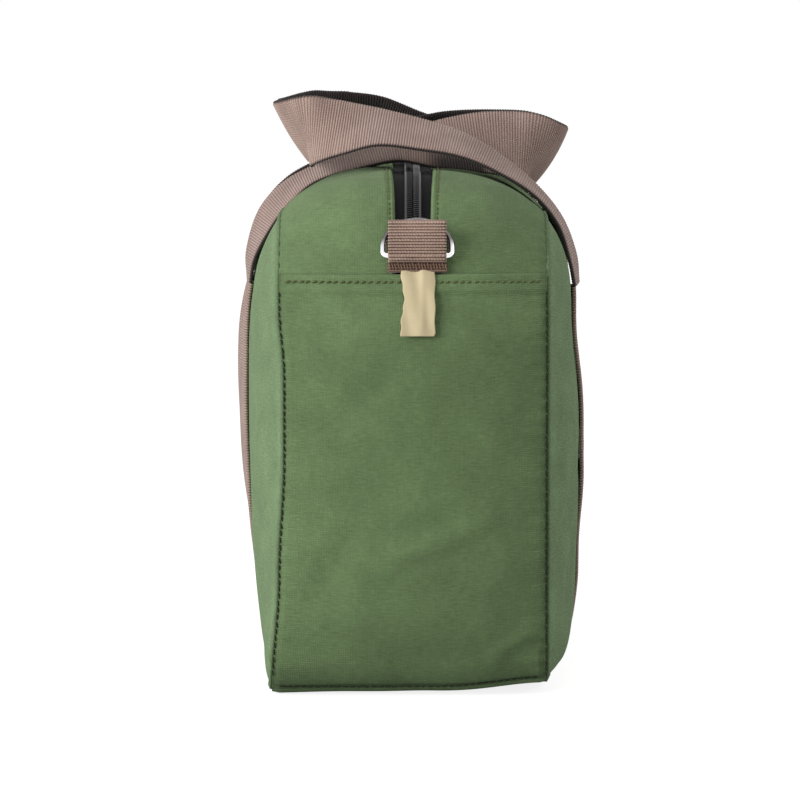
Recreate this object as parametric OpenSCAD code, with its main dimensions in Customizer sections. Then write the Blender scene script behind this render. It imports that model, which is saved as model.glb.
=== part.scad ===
// Zip-top canvas tool bag, long and narrow, packed full and standing on its flat bottom.
// The origin is the middle of the underside. X is the width, Y the length, Z is up.
// The narrow end at -Y is the one with the zip end, the ring tab, the label and a pocket.

/* [Bag] */
// overall length, over the stuffed ends
bag_len = 400; // [320:5:480]
// overall width, over the stuffed faces
bag_wid = 150; // [136:1:190]
// overall height of the body, to the crown of the top
bag_ht = 220; // [190:1:280]
// width of the gusset, from seam to seam
gusset_w = 114; // [100:1:124]
// how far the top of the gusset is crowned above its seams
top_rise = 17.5; // [12:1:30]
// how far each end is crowned outside its seams
end_rise = 9; // [5:0.5:14]
// corner radius of the faces at the top
shoulder_r = 58; // [40:1:70]
// corner radius of the faces at the bottom
heel_r = 14; // [8:1:24]
// thickness of the canvas
canvas_t = 1.6; // [1:0.1:2.5]

/* [End pockets] */
// from the crown of the top down to the pocket mouth
mouth_drop = 42.5; // [36:0.5:80]
// depth of the folded hem at the pocket mouth
hem_d = 9; // [6:0.5:14]
// thickness of the pocket cloth
pocket_t = 1.2; // [0.8:0.1:2]

/* [Zip] */
// width of the gap between the canvas edges
zip_gap = 15; // [12:0.5:20]
// how far each tape runs under the canvas
tape_tuck = 6; // [4:0.5:10]
// thickness of the zip tape
tape_t = 0.8; // [0.5:0.1:1.2]
// width of the closed pair of tooth rows
chain_w = 7; // [5:0.5:8]
// height of the tooth rows over the tape
chain_h = 1.5; // [1:0.1:2.2]
// length of the slider body
slider_len = 13; // [10:0.5:18]
// width of the slider body
slider_w = 10.5; // [10:0.1:12]
// travel of the slider along the top
slider_run = 240; // [120:5:260]
// length of the pull tab
pull_len = 30; // [20:1:45]

/* [Handles] */
// width of the handle webbing
web_w = 32; // [25:1:36]
// thickness of the handle webbing
web_t = 2.2; // [1.5:0.1:3]
// from the top seam down to where the free part of each handle starts
root_drop = 34.5; // [20:1:50]
// from the middle of the bag to the legs of the lower handle
low_leg_y = 60; // [50:1:70]
// play between the legs of the two handles, one inside the other
leg_play = 2; // [1.5:0.5:8]
// height of the lower handle's grip over the crown of the top
low_lift = 12; // [12:1:40]
// height of the upper handle's grip over the crown of the top
high_lift = 16; // [16:1:50]

/* [Ring tabs] */
// width of the tab webbing
tab_w = 25; // [20:1:30]
// thickness of the tab webbing
tab_t = 1.3; // [1:0.1:2]
// height of the tab from the bottom of its stitched foot to its fold
tab_h = 21; // [18:0.5:30]
// height of the stitched foot of the tab
tab_foot = 4; // [3:0.5:9]
// from the pocket mouth up to the foot of the tab
tab_up = 1.5; // [1:0.5:3]
// wire diameter of the rings
ring_d = 2.6; // [2:0.1:4]
// inner width of the rings
ring_in = 26.4; // [24:0.2:34]
// inner height of the rings
ring_rise = 14.5; // [10:0.5:18]

/* [Label] */
// width of the label
label_w = 15; // [10:0.5:22]
// length of the label below the tab
label_l = 27; // [15:0.5:40]
// thickness of the label
label_t = 0.5; // [0.3:0.1:1]

/* [Hidden] */
// colours
green = [0.36, 0.52, 0.33];
green_dark = [0.32, 0.47, 0.29];
taupe = [0.60, 0.49, 0.44];
taupe_dark = [0.50, 0.40, 0.36];
black = [0.08, 0.08, 0.09];
steel = [0.78, 0.79, 0.80];
cream = [0.87, 0.81, 0.66];
// half sizes
g = gusset_w / 2;
half_l = bag_len / 2 - end_rise;
seam_top = bag_ht - top_rise;
face_rise = bag_wid / 2 - g - canvas_t;
mid_z = seam_top / 2;
// how square the stuffed face stands: the power of its fall towards the seam
face_pow = 5;
// width of the flat margin of a face, sewn against the edge of the gusset
flange_d = 3;
// the power of the gusset's fall towards its seams
arch_pow = 2.2;
// steps of the curves
heel_steps = 4;
side_steps = 6;
shoulder_steps = 10;
mouth_steps = 3;
top_steps = 6;
// stations across half the gusset, outside the zip
wide_steps = 7;
// power of the turn of the crown over the shoulder, and the smallest slope that counts
swell_pow = 0.8;
shape_eps = 0.001;
// gap kept between a soft piece and a neighbour on another body
soft_gap = 0.4;
// overrun of cutting bodies
over = 1;

function lerp(a, b, t) = a + (b - a) * t;
function smooth(t) = let (u = min(max(t, 0), 1)) u * u * (3 - 2 * u);
function unit3(v) = v / norm(v);

// one station of the side outline: y, z, outward normal y and z, the crown there, and the
// way the crown swells: level up to the pocket mouth, then turning upright over the shoulder
mouth_z = bag_ht - mouth_drop;
hem_z = mouth_z - hem_d;
function crown(z) = lerp(end_rise * smooth(z / (2 * heel_r + end_rise)), top_rise,
  smooth((z - hem_z) / (seam_top - hem_z)));
function swell(z, a) = z < mouth_z ? (cos(a) < 0 ? 180 : 0)
  : 90 - 90 * sign(cos(a)) * (abs(cos(a)) < shape_eps ? 0
    : pow(max(1 - (z - mouth_z) / (seam_top - mouth_z), 0), swell_pow));
function station(y, z, a) = let (b = swell(z, a)) [y, z, cos(a), sin(a), crown(z), cos(b), sin(b)];
function heel(k) = let (a = 270 - 90 * k / heel_steps)
  station(-half_l + heel_r + heel_r * cos(a), heel_r + heel_r * sin(a), a);
function shoulder(k) = let (a = 180 - 90 * k / shoulder_steps)
  station(-half_l + shoulder_r + shoulder_r * cos(a),
    seam_top - shoulder_r + shoulder_r * sin(a), a);
// the near end's outline from height z0 up to height z1, both on the upright part or beyond
shoulder_z = seam_top - shoulder_r;
function upright(z0, z1, n) = [for (k = [0 : n]) station(-half_l, lerp(z0, z1, k / n), 180)];
// angle of the shoulder at which its height is z
function sh_ang(z) = 180 - asin((z - shoulder_z) / shoulder_r);
function sh_at(a) = station(-half_l + shoulder_r + shoulder_r * cos(a),
  shoulder_z + shoulder_r * sin(a), a);
function sh_run(z0, a1, n) = [for (k = [0 : n]) sh_at(lerp(sh_ang(z0), a1, k / n))];
function far(rows) = [for (k = [len(rows) - 1 : -1 : 0]) let (r = rows[k])
  [-r[0], r[1], -r[2], r[3], r[4], -r[5], r[6]]];
heel_rows = [for (k = [0 : heel_steps]) heel(k)];
end_rows = concat(heel_rows, [for (k = [1 : side_steps])
  station(-half_l, lerp(heel_r, shoulder_z, k / side_steps), 180)],
  [for (k = [1 : mouth_steps]) sh_at(lerp(180, sh_ang(hem_z), k / mouth_steps))],
  [sh_at(sh_ang(mouth_z))]);
near_top = sh_run(mouth_z, 90, shoulder_steps);
flat_top = [for (k = [1 : top_steps - 1])
  station(lerp(-half_l + shoulder_r, half_l - shoulder_r, k / top_steps), seam_top, 90)];
top_rows = concat(near_top, flat_top, far(near_top));

// a point of the gusset: station r, place x across it, d outside the cloth
function arch(x) = 1 - pow(min(abs(x) / g, 1), arch_pow);
function gus(r, x, d) = let (h = r[4] * arch(x))
  [x, r[0] + r[5] * h + r[2] * d, r[1] + r[6] * h + r[3] * d];
function sheet_pts(rows, xs, d) = [for (r = rows) [for (x = xs) gus(r, x, d)]];

// a closed solid between two grids of points with the same number of rows and columns
module skin(p, q, flip = false) {
  nr = len(p);
  nc = len(p[0]);
  n = nr * nc;
  pts = concat([for (r = p) for (v = r) v], [for (r = q) for (v = r) v]);
  function a(i, j) = i * nc + j;
  function b(i, j) = n + i * nc + j;
  tri = concat(
    [for (i = [0 : nr - 2]) for (j = [0 : nc - 2]) each
      [[a(i, j), a(i + 1, j), a(i + 1, j + 1)], [a(i, j), a(i + 1, j + 1), a(i, j + 1)],
       [b(i, j), b(i + 1, j + 1), b(i + 1, j)], [b(i, j), b(i, j + 1), b(i + 1, j + 1)]]],
    [for (i = [0 : nr - 2]) each
      [[a(i, 0), b(i, 0), b(i + 1, 0)], [a(i, 0), b(i + 1, 0), a(i + 1, 0)],
       [a(i, nc - 1), b(i + 1, nc - 1), b(i, nc - 1)],
       [a(i, nc - 1), a(i + 1, nc - 1), b(i + 1, nc - 1)]]],
    [for (j = [0 : nc - 2]) each
      [[a(0, j), b(0, j + 1), b(0, j)], [a(0, j), a(0, j + 1), b(0, j + 1)],
       [a(nr - 1, j), b(nr - 1, j), b(nr - 1, j + 1)],
       [a(nr - 1, j), b(nr - 1, j + 1), a(nr - 1, j + 1)]]]);
  polyhedron(pts, flip ? [for (t = tri) [t[0], t[2], t[1]]] : tri, convexity = 8);
}
module mirror_y() {
  mirror([0, 1, 0]) children();
}
module mirror_x() {
  mirror([1, 0, 0]) children();
}

// ---- gusset: ends, bottom and the two halves of the top
full_xs = [for (k = [-wide_steps : wide_steps]) g * sin(90 * k / wide_steps)];
gap_x = zip_gap / 2;
tuck_x = gap_x + tape_tuck;
half_xs = concat([gap_x, (gap_x + tuck_x) / 2],
  [for (k = [0 : wide_steps - 1]) lerp(tuck_x, g, sin(90 * k / (wide_steps - 1)))]);

module end_panel_near() {
  color(green) skin(sheet_pts(end_rows, full_xs, 0), sheet_pts(end_rows, full_xs, -canvas_t));
}
module end_panel_far() {
  mirror_y() end_panel_near();
}
bottom_half = half_l - heel_r;
module bottom_panel() {
  color(green_dark) translate([-g, -bottom_half, 0]) cube([gusset_w, 2 * bottom_half, canvas_t]);
}
module top_strip_right() {
  color(green) skin(sheet_pts(top_rows, half_xs, 0), sheet_pts(top_rows, half_xs, -canvas_t));
}
module top_strip_left() {
  mirror_x() top_strip_right();
}

// ---- the two stuffed faces
outline = concat(heel_rows, [for (k = [1 : side_steps])
  station(-half_l, lerp(heel_r, shoulder_z, k / side_steps), 180)],
  [for (k = [1 : shoulder_steps]) shoulder(k)], flat_top);
ring_all = concat(outline, far(concat(heel_rows, [for (k = [1 : side_steps])
  station(-half_l, lerp(heel_r, shoulder_z, k / side_steps), 180)],
  [for (k = [1 : shoulder_steps]) shoulder(k)])),
  [for (k = [1 : top_steps - 1]) station(lerp(bottom_half, -bottom_half, k / top_steps), 0, 270)]);
// share of the way from the middle of the face to its seam, ring by ring
flange_share = 1 - flange_d / mid_z;
rings = concat([for (t = [0.3, 0.5, 0.64, 0.76, 0.86, 0.94, 1]) t * flange_share], [1]);
function face_at(t) = face_rise * (1 - pow(min(t / flange_share, 1), face_pow));
function face_pt(r, t, d) =
  [g + canvas_t + face_at(t) + d, r[0] * t, mid_z + (r[1] - mid_z) * t];
function closed(v) = concat(v, [v[0]]);
module face_shell(d1, d0) {
  nr = len(rings);
  nc = len(ring_all);
  n = nr * nc;
  pts = concat([for (t = rings) for (r = ring_all) face_pt(r, t, d1)],
    [for (t = rings) for (r = ring_all) face_pt(r, t, d0)],
    [face_pt(ring_all[0], 0, d1), face_pt(ring_all[0], 0, d0)]);
  function a(i, j) = i * nc + j % nc;
  function b(i, j) = n + i * nc + j % nc;
  tri = concat(
    [for (i = [0 : nr - 2]) for (j = [0 : nc - 1]) each
      [[a(i, j), a(i + 1, j), a(i + 1, j + 1)], [a(i, j), a(i + 1, j + 1), a(i, j + 1)],
       [b(i, j), b(i + 1, j + 1), b(i + 1, j)], [b(i, j), b(i, j + 1), b(i + 1, j + 1)]]],
    [for (j = [0 : nc - 1]) each
      [[a(nr - 1, j), b(nr - 1, j), b(nr - 1, j + 1)],
       [a(nr - 1, j), b(nr - 1, j + 1), a(nr - 1, j + 1)]]],
    [for (j = [0 : nc - 1]) each
      [[2 * n, a(0, j), a(0, j + 1)], [2 * n + 1, b(0, j + 1), b(0, j)]]]);
  polyhedron(pts, tri, convexity = 8);
}
module face_panel_right() {
  color(green) face_shell(0, -canvas_t);
}
module face_panel_left() {
  color(green) mirror_x() face_panel_right();
}

// ---- pockets on the ends, one cloth thick with a folded hem
function pocket_d(r) = r[1] > hem_z - hem_d / 2 ? 2 * pocket_t : pocket_t;
module end_pocket_near() {
  color(green) skin([for (r = end_rows) [for (x = full_xs) gus(r, x, pocket_d(r))]],
    sheet_pts(end_rows, full_xs, 0));
}
module end_pocket_far() {
  mirror_y() end_pocket_near();
}

// ---- zip: two tapes under the canvas edges, two rows of teeth, stops, slider and pull
mesh_gap = 0.6;
// the slider's blade that parts the two rows
blade_t = 0.7;
tooth_round = chain_h / 2;
row_xs = [mesh_gap, mesh_gap + tooth_round, chain_w / 2 - tooth_round, chain_w / 2];
tape_top = -canvas_t;
tape_xs = concat(row_xs, [gap_x, (gap_x + tuck_x) / 2, tuck_x]);
module zip_tape_right() {
  color(black) skin(sheet_pts(top_rows, tape_xs, tape_top),
    sheet_pts(top_rows, tape_xs, tape_top - tape_t));
}
module zip_tape_left() {
  mirror_x() zip_tape_right();
}
last = len(top_rows) - 1;
teeth_rows = [for (k = [1 : last - 1]) top_rows[k]];
row_hs = [tooth_round, chain_h, chain_h, tooth_round];
module zip_teeth_right() {
  color(black) skin(
    [for (r = teeth_rows) [for (k = [0 : len(row_xs) - 1]) gus(r, row_xs[k], tape_top + row_hs[k])]],
    sheet_pts(teeth_rows, row_xs, tape_top));
}
module zip_teeth_left() {
  mirror_x() zip_teeth_right();
}
stop_xs = concat([for (k = [len(row_xs) - 1 : -1 : 0]) -row_xs[k]], row_xs);
stop_in = 0.5;
stop_rows = [sh_at(sh_ang(mouth_z + stop_in)), top_rows[1]];
module zip_stop_near() {
  color(steel) skin(sheet_pts(stop_rows, stop_xs, tape_top + chain_h),
    sheet_pts(stop_rows, stop_xs, tape_top));
}
module zip_stop_far() {
  mirror_y() zip_stop_near();
}
// play of the slider round the teeth and the tapes, and its own walls
slide_play = 0.35;
slide_wall = 1.2;
slide_end = 4;
slider_y = half_l - shoulder_r - slider_len / 2 - slide_end;
teeth_z = bag_ht + tape_top + chain_h;
tape_z1 = bag_ht + tape_top;
tape_z0 = bag_ht + tape_top - tape_t;
arch_fall = top_rise * (1 - arch(slider_w / 2));
cave_z0 = tape_z0 - arch_fall - slide_play;
cave_z1 = teeth_z + slide_play;
cave_w = chain_w + 2 * slide_play;
slot_z1 = tape_z1 + slide_play;
body_z0 = cave_z0 - slide_wall;
body_z1 = cave_z1 + slide_wall;
// the pull's pin, its barrel and its tongue
pin_d = 1.6;
pin_play = 0.15;
barrel_d = 3.2;
lug_w = 1.4;
lug_play = 0.3;
tongue_t = 1.4;
tongue_w = 6;
pin_z = body_z1 + barrel_d / 2 + slide_play;
barrel_l = slider_w - 2 * lug_w - 2 * lug_play - 2 * slide_play;
eye_d = 3;
module zip_slider() {
  color(steel) {
    difference() {
      translate([-slider_w / 2, slider_y - slider_len / 2, body_z0])
        cube([slider_w, slider_len, body_z1 - body_z0]);
      translate([-cave_w / 2, slider_y - slider_len / 2 - over, cave_z0])
        cube([cave_w, slider_len + 2 * over, cave_z1 - cave_z0]);
      translate([-slider_w / 2 - over, slider_y - slider_len / 2 - over, cave_z0])
        cube([slider_w + 2 * over, slider_len + 2 * over, slot_z1 - cave_z0]);
    }
    translate([-blade_t / 2, slider_y - slider_len / 2, body_z0])
      cube([blade_t, slider_len, body_z1 - body_z0]);
    for (s = [-1, 1]) translate([s * (barrel_l / 2 + lug_play + lug_w / 2), slider_y, 0])
      translate([-lug_w / 2, -barrel_d / 2, cave_z1])
        cube([lug_w, barrel_d, pin_z - cave_z1 + barrel_d / 2]);
    translate([0, slider_y, pin_z]) rotate([0, 90, 0])
      cylinder(d = pin_d, h = barrel_l + 2 * lug_play + lug_w, center = true, $fn = 24);
  }
}
module zip_pull() {
  color(steel) translate([0, slider_y, pin_z]) {
    difference() {
      union() {
        rotate([0, 90, 0]) cylinder(d = barrel_d, h = barrel_l, center = true, $fn = 32);
        translate([-tongue_w / 2, 0, -tongue_t / 2]) cube([tongue_w, pull_len, tongue_t]);
        translate([0, pull_len, 0]) cylinder(d = tongue_w, h = tongue_t, center = true, $fn = 32);
      }
      rotate([0, 90, 0])
        cylinder(d = pin_d + 2 * pin_play, h = barrel_l + 2 * over, center = true, $fn = 32);
      translate([0, pull_len, 0]) cylinder(d = eye_d, h = tongue_t + 2 * over, center = true, $fn = 24);
    }
  }
}

// ---- ring tabs: a stitched foot on the cloth and a loop that holds the ring
tab_z = mouth_z + tab_up;
tab_row = sh_at(sh_ang(tab_z));
// the slope of the middle of the gusset under the foot, and how far the tab leans with it
tab_run = gus(sh_at(sh_ang(tab_z + tab_foot)), 0, 0) - gus(tab_row, 0, 0);
tab_lean = atan2(tab_run[1], tab_run[2]);
foot_t = 2 * tab_t;
// the plane the foot stands on, off the cloth by the label under it
foot_play = 0.2;
foot_off = label_t + foot_play;
tab_bore = ring_d + 2 * soft_gap;
loop_t = tab_bore + 2 * tab_t;
module at_tab() {
  o = gus(tab_row, 0, foot_off);
  translate(o) rotate([-tab_lean, 0, 0]) children();
}
module tab_foot_near() {
  color(taupe_dark) at_tab() translate([-tab_w / 2, -foot_t, 0]) cube([tab_w, foot_t, tab_foot]);
}
module tab_foot_far() {
  mirror_y() tab_foot_near();
}
loop_r = loop_t / 2;
// the loop is round where it holds the ring and closes to a fold that stands forward
fold_r = tab_t + soft_gap;
fold_out = 4;
module loop_profile(inset) {
  hull() {
    translate([-loop_r, tab_foot + soft_gap + loop_r]) circle(r = loop_r - inset, $fn = 32);
    translate([-loop_r - fold_out, tab_h - fold_r]) circle(r = fold_r - inset, $fn = 32);
  }
}
module ring_tab_near() {
  color(taupe) at_tab() rotate([90, 0, 90]) linear_extrude(height = tab_w, center = true)
    difference() {
      loop_profile(0);
      loop_profile(tab_t);
    }
}
module ring_tab_far() {
  mirror_y() ring_tab_near();
}
bar_z = tab_foot + soft_gap + loop_r;
ring_r = ring_in / 2 + ring_d / 2;
ring_leg = max(ring_rise + ring_d - ring_r, ring_d / 4);
// how far the ring leans back behind its tab
ring_back = 9;
module d_ring_near() {
  color(steel) at_tab() translate([0, -loop_r, bar_z]) rotate([-ring_back, 0, 0]) {
    rotate([0, 90, 0]) cylinder(d = ring_d, h = 2 * ring_r, center = true, $fn = 24);
    for (s = [-1, 1]) translate([s * ring_r, 0, 0]) {
      sphere(d = ring_d, $fn = 24);
      cylinder(d = ring_d, h = ring_leg, $fn = 24);
    }
    translate([0, 0, ring_leg]) rotate([90, 0, 0])
      rotate_extrude(angle = 180, $fn = 64) translate([ring_r, 0]) circle(d = ring_d, $fn = 24);
  }
}
module d_ring_far() {
  mirror_y() d_ring_near();
}

// ---- label: held under the near tab's foot, hanging down over the pocket hem
label_steps = 6;
label_off = 2 * pocket_t + soft_gap;
label_tuck = 2;
label_z0 = tab_z - label_l;
// heights of its rows and how far it stands off the end: over the hem, then under the foot
label_zs = concat([for (k = [0 : label_steps]) lerp(label_z0, mouth_z, k / label_steps)],
  [tab_z - foot_play, tab_z + label_tuck]);
label_ds = [for (k = [0 : label_steps + 2]) k > label_steps ? 0 : label_off];
function label_row(k) = let (z = label_zs[k])
  z > shoulder_z ? sh_at(sh_ang(z)) : station(-half_l, z, 180);
label_xs = [-label_w / 2, 0, label_w / 2];
module size_label() {
  color(cream) skin(
    [for (k = [0 : label_steps + 2]) [for (x = label_xs) gus(label_row(k), x, label_ds[k] + label_t)]],
    [for (k = [0 : label_steps + 2]) [for (x = label_xs) gus(label_row(k), x, label_ds[k])]]);
}

// ---- handles: legs sewn flat on the faces, and free loops that lie across the top
root_z = seam_top - root_drop;
root_share = (root_z - mid_z) / mid_z;
root_x = g + canvas_t + face_at(root_share) + web_t / 2;
high_leg_y = low_leg_y + web_w + leg_play;
root_gap = web_t / 2 + soft_gap;
leg_z0 = heel_r;
module strap_leg(y) {
  color(taupe) intersection() {
    face_shell(web_t, 0);
    translate([g, y - web_w / 2, leg_z0]) cube([bag_wid, web_w, root_z - leg_z0]);
  }
}
module strap_leg_right_near() {
  strap_leg(-high_leg_y);
}
module strap_leg_right_far() {
  strap_leg(high_leg_y);
}
module strap_leg_left_near() {
  mirror_x() strap_leg(-low_leg_y);
}
module strap_leg_left_far() {
  mirror_x() strap_leg(low_leg_y);
}
// half of a free loop, from its root to the middle of its grip: share of the root's distance
// from the middle, inset from the leg in webbing widths, share of the rise, and the direction
// across the webbing
high_path = [[1, 0, 0, [0, 1, 0]], [0.985, 0, 0.19, [0.03, 0.99, 0.01]],
  [0.915, 0, 0.42, [0.08, 0.99, 0.05]], [0.765, 0, 0.62, [0.07, 0.99, 0.09]],
  [0.535, 0, 0.795, [0.11, 0.97, 0.18]], [0.3, 0, 0.92, [0.08, 0.94, 0.3]],
  [0.06, 0, 0.99, [0, 0.9, 0.41]], [-0.2, 0, 1.04, [0, 0.86, 0.5]],
  [-0.44, 0.09, 1.035, [-0.1, 0.65, 0.72]], [-0.62, 0.3, 1.026, [-0.33, 0.4, 0.82]],
  [-0.71, 0.8, 1.024, [-0.55, 0.1, 0.82]], [-0.745, 1.4, 1.024, [-0.6, 0, 0.8]],
  [-0.745, 2.1, 1.024, [-0.57, 0, 0.82]]];
low_path = [[1, 0, 0, [0, 1, 0]], [0.99, 0, 0.2, [0.05, 0.99, 0.02]],
  [0.92, 0, 0.46, [0.17, 0.97, 0.1]], [0.782, 0, 0.646, [0.16, 0.96, 0.12]],
  [0.585, 0, 0.772, [0.11, 0.965, 0.17]], [0.35, 0, 0.885, [0.08, 0.965, 0.24]],
  [0.08, 0, 1.012, [0.02, 0.91, 0.4]], [-0.18, 0, 1.03, [0, 0.72, 0.68]],
  [-0.46, 0.09, 1.01, [-0.1, 0.5, 0.86]], [-0.69, 0.25, 0.965, [-0.3, 0.3, 0.9]],
  [-0.81, 0.6, 0.905, [-0.5, 0.1, 0.85]], [-0.84, 1, 0.885, [-0.53, 0, 0.85]],
  [-0.84, 1.4, 0.885, [-0.5, 0, 0.86]]];
function spot(row, leg_y, rise) = [root_x * row[0], -leg_y + row[1] * web_w,
  root_z + root_gap * (1 - row[2]) + row[2] * rise];
function cat(a, b, c, d, t) = 0.5 * ((2 * b) + (c - a) * t + (2 * a - 5 * b + 4 * c - d) * t * t
  + (3 * b - a - 3 * c + d) * t * t * t);
function flip_y(v) = [v[0], -v[1], v[2]];
loop_sub = 3;
function loop_ctl(path, leg_y, rise) = let (m = [for (r = path) [spot(r, leg_y, rise), r[3]]],
  nm = len(m)) concat(m, [[[m[nm - 1][0][0], 0, m[nm - 1][0][2]], [m[nm - 1][1][0], 0,
  m[nm - 1][1][2]]]], [for (k = [nm - 1 : -1 : 0]) [flip_y(m[k][0]), [m[k][1][0], -m[k][1][1],
  m[k][1][2]]]]);
function loop_path(ctl, col) = let (n = len(ctl)) [for (i = [0 : n - 2]) for (k = [0 : loop_sub - 1])
  cat(ctl[max(i - 1, 0)][col], ctl[i][col], ctl[i + 1][col], ctl[min(i + 2, n - 1)][col],
  k / loop_sub), ctl[n - 1][col]];
module free_loop(path, leg_y, rise) {
  ctl = loop_ctl(path, leg_y, rise);
  c = loop_path(ctl, 0);
  w = loop_path(ctl, 1);
  n = len(c);
  t = [for (i = [0 : n - 1]) unit3(c[min(i + 1, n - 1)] - c[max(i - 1, 0)])];
  wu = [for (i = [0 : n - 1]) unit3(w[i] - t[i] * (t[i] * w[i]))];
  nn = [for (i = [0 : n - 1]) cross(t[i], wu[i])];
  skin([for (i = [0 : n - 1]) [for (s = [-1, 0, 1]) c[i] + wu[i] * s * web_w / 2 + nn[i] * web_t / 2]],
    [for (i = [0 : n - 1]) [for (s = [-1, 0, 1]) c[i] + wu[i] * s * web_w / 2 - nn[i] * web_t / 2]]);
}
module handle_right() {
  color(taupe) free_loop(high_path, high_leg_y, bag_ht + high_lift - root_z);
}
module handle_left() {
  color(taupe) mirror_x() free_loop(low_path, low_leg_y, bag_ht + low_lift - root_z);
}

// ---- bound seam allowances inside the bag
bind_d = 9;
bind_t = 1.6;
function offset_pt(r, d) = [r[0] + r[2] * d, r[1] + r[3] * d];
module seam_binding_right() {
  color(green_dark) translate([g - canvas_t - soft_gap, 0, 0]) rotate([90, 0, 90])
    translate([0, 0, -bind_t]) linear_extrude(height = bind_t) difference() {
      polygon([for (r = ring_all) offset_pt(r, -canvas_t - soft_gap)]);
      polygon([for (r = ring_all) offset_pt(r, -canvas_t - soft_gap - bind_d)]);
    }
}
module seam_binding_left() {
  mirror_x() seam_binding_right();
}

face_panel_left();
face_panel_right();
end_panel_near();
end_panel_far();
bottom_panel();
top_strip_left();
top_strip_right();
end_pocket_near();
end_pocket_far();
zip_tape_left();
zip_tape_right();
zip_teeth_left();
zip_teeth_right();
zip_stop_near();
zip_stop_far();
zip_slider();
zip_pull();
tab_foot_near();
tab_foot_far();
ring_tab_near();
ring_tab_far();
d_ring_near();
d_ring_far();
size_label();
strap_leg_left_near();
strap_leg_left_far();
strap_leg_right_near();
strap_leg_right_far();
handle_left();
handle_right();
seam_binding_left();
seam_binding_right();
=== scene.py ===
import math

import bpy
import numpy as np
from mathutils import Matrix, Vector


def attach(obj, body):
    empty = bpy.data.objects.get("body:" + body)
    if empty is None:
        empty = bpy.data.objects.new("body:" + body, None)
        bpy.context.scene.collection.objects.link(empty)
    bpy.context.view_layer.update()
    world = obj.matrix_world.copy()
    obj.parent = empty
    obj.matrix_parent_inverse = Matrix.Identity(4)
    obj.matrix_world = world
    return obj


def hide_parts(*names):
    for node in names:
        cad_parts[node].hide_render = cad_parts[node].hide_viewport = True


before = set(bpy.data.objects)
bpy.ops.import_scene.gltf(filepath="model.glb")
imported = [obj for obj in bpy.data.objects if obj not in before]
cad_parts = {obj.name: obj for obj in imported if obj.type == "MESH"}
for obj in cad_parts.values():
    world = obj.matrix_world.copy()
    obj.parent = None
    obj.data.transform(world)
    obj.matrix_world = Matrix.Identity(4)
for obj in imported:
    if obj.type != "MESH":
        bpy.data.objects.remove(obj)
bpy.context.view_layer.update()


# ---- Camera
# A long lens stands a little over two metres off the narrow end of the bag and looks almost
# level along it, slightly down.
lens_px = 5145.0
photo_px = 800.0
sensor_mm = 36.0
near_end_y = -0.191
stand_off = 2.18
view_down = math.radians(4.0)
aim = Vector((-0.0055, near_end_y, 0.125))
toward = Vector((0.0, math.cos(view_down), -math.sin(view_down)))
lens_data = bpy.data.cameras.new("long_lens")
lens_data.sensor_width = sensor_mm
lens_data.lens = lens_px / photo_px * sensor_mm
lens_data.clip_end = 50.0
camera = bpy.data.objects.new("long_lens", lens_data)
bpy.context.collection.objects.link(camera)
camera.location = aim - toward * stand_off
camera.rotation_euler = toward.to_track_quat("-Z", "Y").to_euler()
bpy.context.scene.camera = camera


# ---- Floor, room and lamps
# A white floor that glows as plain paper to the lens, to metal and through gaps, while soft
# boxes at the left, at the right and above and the room light the cloth itself.
class Flow:
    """One output of a node; arithmetic on flows adds the Math nodes for it."""

    def __init__(self, finish, socket):
        self.finish = finish
        self.socket = socket

    def calc(self, operation, other):
        return self.finish.add("ShaderNodeMath", {"operation": operation}, {0: self, 1: other})

    def __add__(self, other):
        return self.calc("ADD", other)

    def __sub__(self, other):
        return self.calc("SUBTRACT", other)

    def __mul__(self, other):
        return self.calc("MULTIPLY", other)

    def __pow__(self, other):
        return self.calc("POWER", other)


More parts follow.
